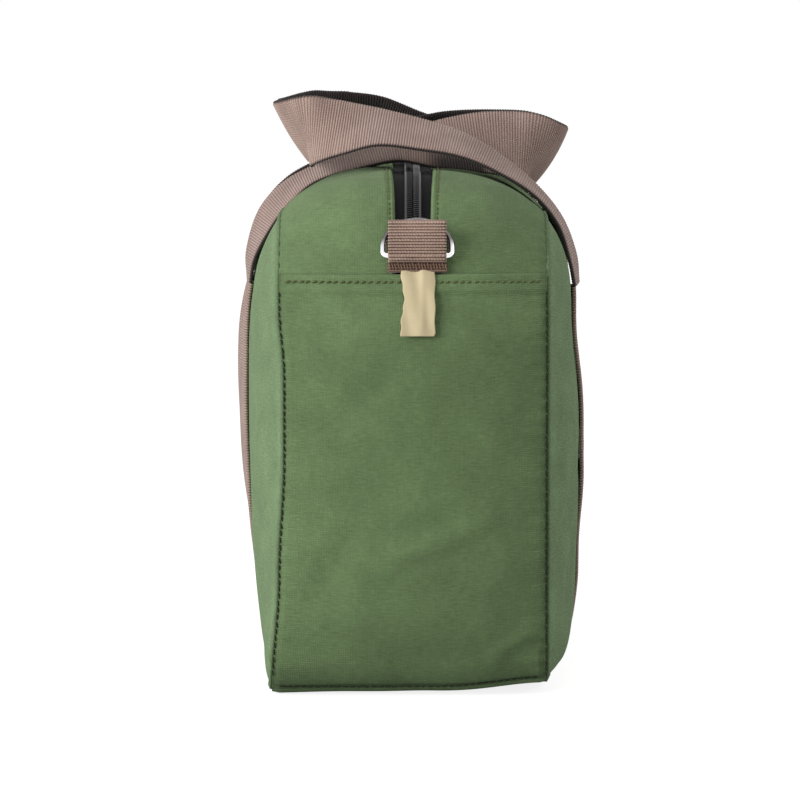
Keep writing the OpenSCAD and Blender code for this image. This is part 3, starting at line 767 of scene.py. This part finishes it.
# painted light: the faces' canvas is a lighter copy of the same cloth, standing in for the sheen
# the faces catch
face_canvas_painted_light = canvas_finish("face_canvas_painted_light", srgb(121, 145, 105), 31.0)
rim_y, rim_z = rim(0.003)
share = np.concatenate([np.linspace(0.0004, 0.8, 34),
                        1 - 0.2 * np.linspace(1, 0, 40)[1:] ** 1.3])[:, None]
face_shapes = {"left": (-1.0, 41, [(-0.0026, 0.033, 0.021)], 0.0018),
               "right": (1.0, 44, [(0.0012, 0.012, 0.014), (0.0020, 0.083, 0.033),
                                   (-0.0019, 0.150, 0.024)], 0.0052)}
for name, (side, *shape) in face_shapes.items():
    y = rim_y * share
    z = mid_z + (rim_z - mid_z) * share
    t = np.broadcast_to(share, y.shape)
    roll = -0.0006 * smooth((t - 0.985) / 0.015)
    x = (face_out(y, z, t, *shape) + roll) * side
    # painted shade along the seam rim, a painted highlight on the roll just inside it, and darker
    # towards the bottom
    worn = -0.22 * smooth((t - 0.975) / 0.02) + 0.10 * np.exp(-((t - 0.95) / 0.015) ** 2) \
        - 0.07 * smooth((0.05 - z) / 0.05)
    face = grid_piece("face_" + name, settled(stacked(x, y, z)), stacked(y, z), face_canvas_painted_light,
                      thick=0.0013, worn=worn, flip=side < 0, loop=True)
    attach(face, "bag")
    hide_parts("face_panel_" + name)


# ---- Seam bindings
# The allowances of the two face seams, bound with a strip of the same canvas that stands
# inside the gusset all the way round.
binding_depth = np.linspace(0.0008, 0.0070, 5)[:, None]
binding_y = 0.982 * rim_y
binding_z = mid_z + 0.972 * (rim_z - mid_z)
for name, side in both_sides:
    ring = stacked(side * (gusset_half - binding_depth), binding_y, binding_z)
    binding = grid_piece("binding_" + name, settled(ring), ring[..., 1:], face_canvas_painted_light,
                         thick=0.0012, flip=side > 0, loop=True)
    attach(binding, "bag")
    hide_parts("seam_binding_" + name)


# ---- Bottom
# The gusset's cloth under the bag, between the two heels, flat on the floor but for the corner
# that rides up.
x = np.linspace(-gusset_half, gusset_half, 40)[None, :]
y = np.linspace(-half_len + heel_r - 0.004, half_len - heel_r + 0.004, 120)[:, None]
flat = stacked(x, y, 0.0002)
bottom = grid_piece("bottom_cloth", settled(flat), flat[..., :2], end_canvas, thick=0.0014,
                    worn=np.full(flat.shape[:2], -0.08), flip=True)
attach(bottom, "bag")
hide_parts("bottom_panel")


# ---- Zip
# Black woven tapes with a nylon coil sewn to each edge; closed, the two coils mesh into one
# ribbed band with a cord along each side, painted lighter grey as a highlight line.
tape_finish = Finish("zip_tape", Roughness=0.85, Specular_IOR_Level=0.15)
u, v = tape_finish.along()
twill = tape_finish.wave(u * 0.7 + v, 0.0007)
# painted shade: the twill's lines lighter than the hollows between them
tape_finish.tint(twill, (12, 11, 12), (30, 28, 30), Normal=tape_finish.bump(twill, 0.0002, 0.6))
coil_finish = Finish("zip_coil", Roughness=0.45, Specular_IOR_Level=0.35)
coil_finish.tint(coil_finish.grain(700.0), (9, 9, 9), (26, 25, 26))
# painted highlight: the cords are a lighter grey than the coil
bead_highlight_finish = Finish("zip_bead", Base_Color=srgb(50, 49, 52), Roughness=0.5)
tape_top = -0.0016
tape_half = 0.0135
run = top_run(0.0025)
for name, side in both_sides:
    x = np.linspace(0.0006, tape_half, 12)
    grid = on_gusset(run, x, tape_top - 0.0001) * [side, 1, 1]
    tape = grid_piece("zip_tape_cloth_" + name, grid, stacked(x, run_length(grid)), tape_finish,
                      thick=0.0008, flip=side < 0)
    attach(tape, "bag")
    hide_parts("zip_tape_" + name)

coil_pitch = 0.0013
coil_turn = 14
coil_from = 0.003
coil_x = 0.0018
coil_half = 0.0015
coil_up = 0.00075
coil_high = 0.00048
cord_r = 0.00042
bead_x = 0.0030
bead_half = 0.00055
bead_high = 0.00035
run = top_run(0.0012)
upright = normals(run)
middle = on_gusset(run, np.array([0.0]), tape_top)[1:-1, 0]
steps = path_length(middle)
half_turn = np.linspace(0, np.pi, 7)
for name, side in both_sides:
    turns = int((steps[-1] - 0.004) / coil_pitch)
    s = np.linspace(coil_from, coil_from + turns * coil_pitch, turns * coil_turn + 1)
    phase = 2 * np.pi * (s - coil_from) / coil_pitch + (0 if side > 0 else np.pi)
    up = between(s, steps, upright[1:-1])
    across = coil_x + coil_half * np.cos(phase)
    lift = coil_up + coil_high * np.sin(phase)
    line = between(s, steps, middle) + stacked(side * across, 0.0, 0.0) + up * lift[:, None]
    ahead = unit(np.gradient(line, axis=0))
    out = unit(np.cross(ahead, up))
    tube, uv = tube_round(line, out, np.cross(out, ahead), cord_r, 5, s)
    coil = grid_piece("zip_coil_" + name, tube, uv, coil_finish, flip=True, loop=True)
    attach(coil, "bag")
    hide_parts("zip_teeth_" + name)
    # the woven cord along the coil's outer edge, where it is sewn to the tape
    x = bead_x + bead_half * np.cos(half_turn)
    high = tape_top + 0.0012 + bead_high * np.sin(half_turn)
    bead = on_gusset(run, x, 0.0) * [side, 1, 1] + upright[:, None] * high[:, None]
    uv = stacked(x, run_length(bead))
    cord = grid_piece("zip_bead_" + name, bead[2:-2], uv[2:-2], bead_highlight_finish, thick=0.0004,
                      flip=side > 0)
    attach(cord, "bag")

zip_metal = Finish("zip_metal", Metallic=1.0, Roughness=0.35)
rub = zip_metal.grain(420.0, 3.0)
zip_metal.tint(rub, (58, 58, 62), (112, 112, 116), Roughness=rub * 0.25 + 0.25,
               Normal=zip_metal.bump(rub, 0.00005, 0.4))
finish_nodes(zip_metal, "zip_slider", "zip_pull", "zip_stop_near", "zip_stop_far")


# ---- Webbing
# Ribbed taupe webbing: stout weft ribs straight across it, packed by fine warp threads that
# cross over them in turn, with a tight selvedge along each edge.
def webbing_finish(name, light, dark, rib, pick, seed, lining=None):
    """Ribs of that pitch along the length and picks across it, offset on every other rib;
    painted highlight on the crowns and painted shade between, unevenly scuffed; a lining
    colours the side that the piece's points mark, which also carries a painted shadow."""
    web = Finish(name, Roughness=0.8, Specular_IOR_Level=0.3, Sheen_Weight=0.2,
                 Sheen_Roughness=0.5)
    u, v = web.along()
    ribs = web.wave(v, rib) ** 0.7
    half = web.wave(v, rib * 2.0)
    picks = web.wave(u + half * pick * 0.5, pick)
    fluff = web.noise(web.at(u * 400.0, v * 400.0, seed), 3.0, 3.0)
    rub = web.noise(web.at(u, v, seed + 3.0), 60.0, 3.0)
    # painted highlight and shade: the tone follows the ribs' height, light on the crowns and dark
    # between
    high = ribs * (picks * 0.45 + 0.55)
    tone = high * 0.75 + (fluff - 0.5) * 0.5 + (rub - 0.5) * 0.5 + 0.05
    tint = web.mix(web.add("ShaderNodeClamp", None, {0: tone}), dark, light)
    if lining:
        tint = web.mix(web.worn(), tint, lining)
    web.shade(Base_Color=tint, Normal=web.bump(high + fluff * 0.3, 0.00035, 0.8))
    return web


rib_pitch = 0.00118
strap_weave = (srgb(214, 187, 175), srgb(132, 106, 97), rib_pitch, 0.0011, 2.0)
strap_finish = webbing_finish("strap_webbing", *strap_weave)
handle_finish = webbing_finish("handle_webbing", *strap_weave, lining=srgb(48, 40, 38))
web_half = 0.016
web_thick = 0.0020


def ribbon(name, line, across, finish, wide=web_half, thick=web_thick, body="bag", rib=rib_pitch,
           relief=0.00018, scallop=0.00022, start=0.0, cell=0.0, inside=None, cup=0.0,
           painted_shadow=None):
    """Webbing as one closed tube: a flat rounded section carried along line, with across as
    its width direction; ribs stand on both faces and notch the edges, and with a cell size
    each rib is a row of lumps that shift by half a cell from rib to rib. inside is the sign
    of the face that takes the lining, and cup how far the web bows at mid-length; between
    the two x of the last argument the near lower edge is painted dark, a painted shadow."""
    steps = path_length(line)
    s = np.linspace(0, steps[-1], int(steps[-1] / rib * 6))
    mid = between(s, steps, line)
    ahead = unit(np.gradient(mid, axis=0))
    cross = between(s, steps, across)
    cross = unit(cross - ahead * np.sum(cross * ahead, axis=1, keepdims=True))
    out = np.cross(ahead, cross)
    crest = 0.5 + 0.5 * np.sin(2 * np.pi * (s + start) / rib)
    inner = np.linspace(-0.93, 0.93, int(2 * wide / cell * 5) + 1 if cell else 9)
    top = np.concatenate([[-1.0, -0.985], inner, [0.985]])
    flat = np.concatenate([top, -top])
    side = np.repeat([1.0, -1.0], len(top))
    full = np.minimum(1.0, (1 - np.abs(flat)) * 14) ** 0.5
    half_w = (wide - scallop * (1 - crest))[:, None] * flat
    ridge = np.repeat((1 - crest)[:, None], len(flat), axis=1)
    if cell:
        shift = 0.5 * np.floor((s + start) / rib + 0.25)[:, None]
        lump = np.abs(np.sin(np.pi * (flat * wide / cell + shift)))
        ridge = np.minimum(1.0, ridge + 0.45 * (1 - lump))
    half_t = (thick / 2 - relief * ridge) * (side * full)
    bowed = cup * np.exp(-((s - steps[-1] / 2) / 0.05) ** 2)[:, None] * (1 - flat ** 2)
    half_t = half_t - (inside or 0.0) * bowed
    points = mid[:, None] + cross[:, None] * half_w[..., None] + out[:, None] * half_t[..., None]
    uv = stacked(flat * wide, (s + start)[:, None])
    ends = [np.broadcast_to(mid[k], (1, len(flat), 3)) for k in (0, -1)]
    points = np.concatenate([ends[0], points, ends[1]])
    uv = np.concatenate([uv[:1], uv, uv[-1:]])
    lining_and_shadow = None if inside is None else np.broadcast_to(
        (side * inside > 0) | (np.abs(flat) > 0.98), points.shape[:2]).astype(float)
    # painted shadow: between these x the near lower edge takes the dark lining colour, where the
    # loop lies under the other handle
    if painted_shadow is not None:
        x = points[..., 0]
        under = smooth((x - painted_shadow[0]) / 0.012) * smooth((painted_shadow[1] - x) / 0.006)
        lining_and_shadow = np.maximum(lining_and_shadow, under * smooth((-0.3 - flat) / 0.25) * (points[..., 1] < 0))
    piece = grid_piece(name, points, uv, finish, worn=lining_and_shadow, flip=True, loop=True)
    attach(piece, body)
    return piece


# ---- Sewn strap legs
# The handles' webbing runs flat down the faces to the bottom seam, sewn to them below the
# free loop; it follows the swell, and its stitching is not seen.
root_z = 0.168
low_leg_y = 0.060
high_leg_y = 0.094
leg_off = 0.0002
probe = 0.012
for name, leg_y in (("left", low_leg_y), ("right", high_leg_y)):
    side, *shape = face_shapes[name]
    for end, way in (("near", -1.0), ("far", 1.0)):
        z = np.linspace(root_z + 0.001, 0.010, 160)
        y = way * leg_y
        rows = [face_out(y + off, z, face_share(y + off, z), *shape)
                for off in (-probe, 0.0, probe)]
        x = np.maximum(rows[1], (rows[0] + rows[2]) / 2) + web_thick / 2 + leg_off
        across = stacked(side * (rows[2] - rows[0]), 2 * probe, 0.0)
        leg = ribbon("strap_%s_%s" % (name, end), stacked(side * x, y, z), across, strap_finish)
        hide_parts("strap_leg_%s_%s" % (name, end))


# ---- Handles
# The free loop of each handle: the webbing leaves its face at two roots and turns on edge
# over the top of the bag, where the two loops cross.
root_x = 0.0737
handle_width = 0.032
low_rise = 0.064
high_rise = 0.068
high_path = [[.982, 0, 0, .08, 1, 0], [.956, 0, .19, .12, .99, .01],
             [.88, 0, .42, .09, .99, .05], [.735, 0, .62, .08, .99, .09],
             [.52, 0, .795, .11, .97, .18], [.3, 0, .92, .08, .94, .3],
             [.06, 0, .99, 0, .9, .41], [-.2, 0, 1.04, 0, .86, .5],
             [-.44, .09, 1.03, -.1, .65, .72], [-.61, .3, 1.013, -.3, .4, .83],
             [-.695, .8, 1.003, -.48, .1, .84], [-.73, 1.4, 1.0, -.52, 0, .85],
             [-.73, 2.1, 1.0, -.5, 0, .86]]
low_path = [[.99, 0, 0, .06, 1, 0], [.975, 0, .2, .15, .98, .03],
            [.882, 0, .46, .27, .96, .1], [.752, 0, .64, .25, .95, .14],
            [.585, 0, .772, .11, .965, .17], [.35, 0, .885, .08, .965, .24],
            [.08, 0, 1.012, .02, .91, .4], [-.18, 0, 1.03, 0, .72, .68],
            [-.46, .09, 1.01, -.1, .5, .86], [-.69, .25, .965, -.3, .3, .9],
            [-.81, .6, .905, -.5, .1, .85], [-.84, 1, .885, -.53, 0, .85],
            [-.84, 1.4, .885, -.5, 0, .86]]


def loop_line(side, path, leg_y, rise, dip, crest, peak, reach):
    """The loop's middle line and width direction: one half from the table, whose rows hold
    shares of root_x, of the width and of rise and then the direction, the other its mirror
    image, joined by a smooth Catmull-Rom curve; over the zip the near half lies dip lower,
    and the far half stands crest higher within reach of peak."""
    share_x, inset, up, *way = np.array(path).T
    spots = stacked(side * root_x * share_x, -leg_y + inset * handle_width,
                    root_z + 0.0015 * (1 - up) + up * rise)
    ways = stacked(side * way[0], way[1], way[2])
    x = spots[:, 0] * side
    far_spots = spots + stacked(0.0, 0.0, crest * np.exp(-((x - peak) / reach) ** 2))
    spots = spots - stacked(0.0, 0.0, dip * np.exp(-((x + 0.004) / 0.03) ** 2))
    over, back = [1.0, 0.0, 1.0], [1.0, -1.0, 1.0]
    spots = np.concatenate([spots, spots[-1:] * over, far_spots[::-1] * back])
    ways = np.concatenate([ways, ways[-1:] * over, ways[::-1] * back])
    p = np.concatenate([2 * spots[:1] - spots[1:2], spots, 2 * spots[-1:] - spots[-2:-1]])
    w = np.concatenate([ways[:1], ways, ways[-1:]])
    t = np.linspace(0, 1, 13)[:-1][:, None]
    curves = []
    for q in (p, w):
        parts = [0.5 * (2 * q[k] + (q[k + 1] - q[k - 1]) * t
                        + (2 * q[k - 1] - 5 * q[k] + 4 * q[k + 1] - q[k + 2]) * t ** 2
                        + (3 * q[k] - q[k - 1] - 3 * q[k + 1] + q[k + 2]) * t ** 3)
                 for k in range(1, len(q) - 2)]
        curves.append(np.concatenate(parts + [q[-2:-1]]))
    return curves


loop_shapes = {"left": (low_path, low_leg_y, low_rise, 0.0037, -0.0018, -0.030, 0.030),
               "right": (high_path, high_leg_y, high_rise, 0.0, 0.0037, -0.020, 0.020)}
# painted shadow on the left loop's near lower edge, where it passes under the right loop
painted_shadow_x = {"left": (0.002, 0.036), "right": None}
for name, side in both_sides:
    line, ways = loop_line(side, *loop_shapes[name])
    handle = ribbon("handle_web_" + name, line, ways, handle_finish, body="handle_" + name,
                    thick=0.0021, start=0.0007, inside=side, cup=0.0022, painted_shadow=painted_shadow_x[name])
    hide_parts("handle_" + name)


# ---- Ring tabs
# A folded piece of stout ribbed webbing at each end of the zip; its legs are sewn to the end
# under one band, a darker copy of the webbing that is painted shade where the foot curves
# in, with a bar-tack of brown thread across it, and the loop above holds the ring.
tab_origin = np.array([0.0, -0.1914, 0.1792])
tab_lean = math.radians(19.296)
tab_half = 0.0125
tab_rib = 0.00125
loop_r = 0.0030
bar_up = 0.0064
fold_r = 0.0017
fold_out = 0.004
tab_top = 0.021
tab_x = 0.0018
tab_pick = 0.00125
foot_rib = 0.0013
foot_high = 0.0042
foot_half = 0.0013
tack_up = 0.0019
tab_finish = webbing_finish("tab_webbing", srgb(242, 208, 188), srgb(76, 51, 42), tab_rib,
                            tab_pick, 12.0)
# painted shade: the foot is a darker copy of the tab's webbing
shaded_foot_finish = webbing_finish("tab_foot", srgb(170, 138, 120), srgb(66, 46, 38), foot_rib,
                             tab_pick, 17.0)
tack = Finish("tab_thread", Roughness=0.75, Specular_IOR_Level=0.25)
tack.tint(tack.grain(1800.0), (96, 70, 56), (168, 138, 116))


def from_tab(points, way):
    """Points of the tab's own frame, x across, y outward and z up it, in the bag's frame."""
    x, y, z = points[..., 0], points[..., 1], points[..., 2]
    c, s = math.cos(tab_lean), math.sin(tab_lean)
    turned = stacked(x + tab_x, y * c + z * s, -y * s + z * c) + tab_origin
    return turned * [1.0, way, 1.0]


def round_by(middle, r, start, stop, count):
    """An arc of the tab's side view."""
    angle = np.linspace(start, stop, count)
    return middle + r * stacked(np.cos(angle), np.sin(angle))


low = np.array([-loop_r, bar_up])
high = np.array([-loop_r - fold_out, tab_top - fold_r])
gap = high - low
base_angle = np.arctan2(gap[1], gap[0])
slack = np.arccos((loop_r - fold_r) / np.hypot(*gap))
inset = 0.00065
profile = np.concatenate([
    round_by(low, loop_r - inset, base_angle + slack, base_angle - slack + 2 * np.pi, 40),
    round_by(high, fold_r - inset, base_angle - slack, base_angle + slack, 24)])
profile = np.concatenate([profile, profile[:1]])
tab_weave = dict(relief=0.0003, scallop=0.0004, cell=tab_pick)
for end, way in both_ends:
    line = from_tab(stacked(0.0, profile[:, 0], profile[:, 1]), way)
    across = np.tile([1.0, 0.0, 0.0], (len(line), 1))
    tab = ribbon("tab_loop_" + end, line, across, tab_finish, wide=tab_half, thick=0.00128,
                 body="tab_" + end, rib=tab_rib, **tab_weave)
    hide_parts("ring_tab_" + end)
    z = np.linspace(-0.0004, foot_high, 16)
    line = from_tab(stacked(0.0, -foot_half, z), way)
    foot = ribbon("tab_foot_web_" + end, line, across[:len(z)], shaded_foot_finish,
                  wide=tab_half + 0.0002, thick=2 * foot_half, rib=foot_rib, **tab_weave)
    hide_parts("tab_foot_" + end)
    x = np.arange(-tab_half + 0.0008, tab_half - 0.0004, tab_pick)
    row = stacked(x, -2 * foot_half, tack_up + 0.0004 * np.sin(x * 3000))
    ups = np.tile([0.0, -math.cos(tab_lean) * way, math.sin(tab_lean)], (len(x), 1))
    ways = np.tile([0.0, math.sin(tab_lean) * way, math.cos(tab_lean)], (len(x), 1))
    stitches("tab_tack_" + end, from_tab(row, way), ways, ups, tack,
             length=0.0034, wide=0.0005, slant=0.25)


# ---- D-rings
# Plated wire bent to a D, the straight side held in the tab's loop; the lower part is painted
# bright and the bow darker, a painted reflection.
plate = Finish("ring_plate", Metallic=1.0, Roughness=0.16)
# painted reflection: the base colour runs from dark on the bow to bright below, by the points'
# mark
plate.tint(plate.worn(), (112, 108, 108), (242, 242, 244),
           Roughness=plate.grain(300.0, 3.0) * 0.12 + 0.1)
wire_r = 0.0013
ring_r = 0.0145
ring_rise = 0.0132
ring_leg = 0.0026
ring_back = math.radians(9.0)
ring_lean = tab_lean + ring_back
ring_corner = 0.0018
bow = np.linspace(0, np.pi, 61)[1:-1]
right = round_by(np.array([ring_r - ring_corner, ring_corner]), ring_corner, -np.pi / 2, 0.0, 9)
arc = stacked(ring_r * np.cos(bow), ring_leg + ring_corner * 0.4 + ring_rise * np.sin(bow))
track = np.concatenate([right, arc, right[::-1] * [-1.0, 1.0], right[:1]])
for end, way in both_ends:
    line = from_tab(stacked(track[:, 0], track[:, 1] * math.sin(ring_back) - loop_r,
                            bar_up + track[:, 1] * math.cos(ring_back)), way)
    ahead = np.roll(line[:-1], -1, axis=0) - np.roll(line[:-1], 1, axis=0)
    ahead = unit(np.concatenate([ahead, ahead[:1]]))
    face = np.tile([0.0, -math.cos(ring_lean) * way, math.sin(ring_lean)], (len(line), 1))
    tube, uv = tube_round(line, face, np.cross(ahead, face), wire_r, 20,
                          np.arange(len(line)) * 0.001)
    # painted reflection: bright on the lower part and the bar, dark up the bow
    painted_reflection = np.broadcast_to(1 - smooth((track[:, 1:] - 0.003) / 0.005), tube.shape[:2])
    d_ring = grid_piece("ring_wire_" + end, tube, uv, plate, worn=painted_reflection, loop=True)
    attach(d_ring, "ring_" + end)
    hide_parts("d_ring_" + end)


# ---- Label
# A short length of cream satin tape, caught under the tab's foot and hanging free over the
# pocket's hem; it bears nothing here. One edge is wavy and a soft fold runs down it.
tape_cream = Finish("label_tape", Roughness=0.55, Specular_IOR_Level=0.4, Sheen_Weight=0.2)
u, v = tape_cream.along()
weave = tape_cream.wave(v, 0.00035) * tape_cream.wave(u, 0.0005)
stain = tape_cream.noise(tape_cream.at(u, v, 4.0), 120.0, 3.0)
tape_cream.tint(stain, (206, 188, 146), (232, 216, 176),
                Normal=tape_cream.bump(weave, 0.0001, 0.5))
label_low = 0.1522
label_high = 0.1800
label_half = 0.0075
z = np.linspace(label_low, label_high, 70)
run = shoulder_at(z)
run["y"] = np.where(z < shoulder_z, -half_len, run["y"])
t = np.linspace(-1, 1, 30)
left_in = 0.0003 + 0.0014 * np.exp(-((z - 0.1668) / 0.0062) ** 2) + 0.0002 * np.sin(z * 1100)
right_in = 0.0002 + 0.0002 * np.sin(z * 600 + 1.0) \
    + 0.0006 * np.exp(-((z - label_low) / 0.0008) ** 2)
x = tab_x + 0.0002 + t * (label_half - np.where(t < 0, left_in[:, None], right_in[:, None]))
climb = (z - label_low)[:, None]
fold = 0.0004 * np.exp(-((x - 0.004) / 0.0015) ** 2) * smooth(climb / 0.006) \
    + 0.0003 * np.sin(x * 700 + z[:, None] * 200)
off = 0.0029 + fold + 0.0005 - smooth((z - 0.1777) / 0.0012)[:, None] * 0.0026
label = grid_piece("cream_label", on_gusset(run, x, off), stacked(x, climb), tape_cream,
                   thick=0.0004)
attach(label, "bag")
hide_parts("size_label")
